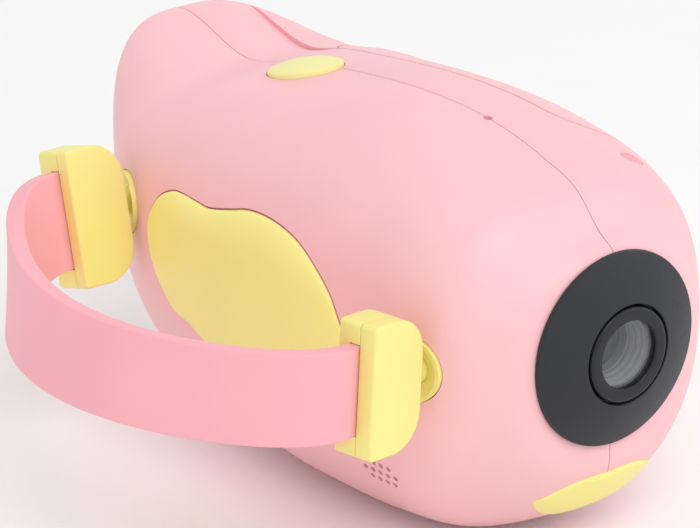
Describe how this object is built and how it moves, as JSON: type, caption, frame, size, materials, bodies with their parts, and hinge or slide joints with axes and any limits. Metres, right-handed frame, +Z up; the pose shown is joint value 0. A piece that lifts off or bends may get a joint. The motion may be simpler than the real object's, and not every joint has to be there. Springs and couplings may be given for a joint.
{
  "type": "toy video camera",
  "caption": "Rounded pastel toy camcorder with a domed lens bezel, a top button, a fold-out screen lid and a bowed rubber hand strap on swivelling brackets.",
  "frame": {"origin": "middle of the flat foot under the body, on the seam between the two shells", "axes": "+Z up, the lens looks along -Y, the hand strap is on the -X side and the screen lid on the +X side"},
  "size_m": [0.1061, 0.1283, 0.0698],
  "materials": {
    "body_pink": "satin moulded plastic",
    "trim_yellow": "satin moulded plastic",
    "button_yellow": "satin moulded plastic",
    "bezel_black": "soft gloss",
    "ring_black": "gloss",
    "lens_glass": "polished",
    "strap_rubber": "matt moulded silicone rubber",
    "frame_grey": "satin",
    "screen_black": "gloss",
    "key_white": "satin",
    "key_red": "satin",
    "board_green": "satin",
    "steel": "plain",
    "battery_silver": "satin",
    "speaker_grey": "satin"
  },
  "bodies": {
    "housing": {"strap_side_shell": "body_pink", "screen_side_shell": "body_pink", "beak_trim": "trim_yellow", "wing_panel": "trim_yellow", "front_strap_cup": "trim_yellow", "rear_strap_cup": "trim_yellow", "lens_bezel": "bezel_black", "lens_ring": "ring_black", "lens_barrel": "ring_black", "front_glass": "lens_glass", "objective_lens": "lens_glass", "sensor_board": "board_green", "switch_board": "board_green", "main_board": "board_green", "function_board": "board_green", "screen_hinge_pin": "steel", "front_case_screw": "steel", "rear_case_screw": "steel", "low_case_screw": "steel", "battery": "battery_silver", "loudspeaker": "speaker_grey", "microphone": "speaker_grey", "shutter_switch": "speaker_grey"},
    "screen": {"screen_lid": "body_pink", "screen_frame": "frame_grey", "screen_panel": "screen_black"},
    "handle": {"front_bracket_back": "trim_yellow", "front_bracket_face": "trim_yellow", "rear_bracket_back": "trim_yellow", "rear_bracket_face": "trim_yellow", "hand_strap": "strap_rubber"},
    "photo_key": {"photo_button": "button_yellow"},
    "power_key": {"power_button": "key_white"},
    "menu_key": {"menu_button": "key_white"},
    "record_key": {"record_button": "key_red"}
  },
  "joints": [
    {"name": "screen_hinge", "type": "hinge", "parent": "housing", "child": "screen", "pos_m": [0.03098, -0.0234, 0.0384], "axis": [0, 0, -1], "range_deg": [0, 90]},
    {"name": "strap_swing", "type": "hinge", "parent": "housing", "child": "handle", "pos_m": [-0.02839, -0.02722, 0.0376], "axis": [0.0211, 0.9985, 0.0502], "range_deg": [-18, 18]},
    {"name": "photo_press", "type": "slide", "parent": "housing", "child": "photo_key", "axis": [0, -0.2229, -0.9748], "range_m": [0, 0.001], "stiffness_N_per_m": 800},
    {"name": "power_press", "type": "slide", "parent": "housing", "child": "power_key", "axis": [-1, 0, 0], "range_m": [0, 0.0005], "stiffness_N_per_m": 800},
    {"name": "menu_press", "type": "slide", "parent": "housing", "child": "menu_key", "axis": [-1, 0, 0], "range_m": [0, 0.0005], "stiffness_N_per_m": 800},
    {"name": "record_press", "type": "slide", "parent": "housing", "child": "record_key", "axis": [-1, 0, 0], "range_m": [0, 0.0005], "stiffness_N_per_m": 800}
  ]
}
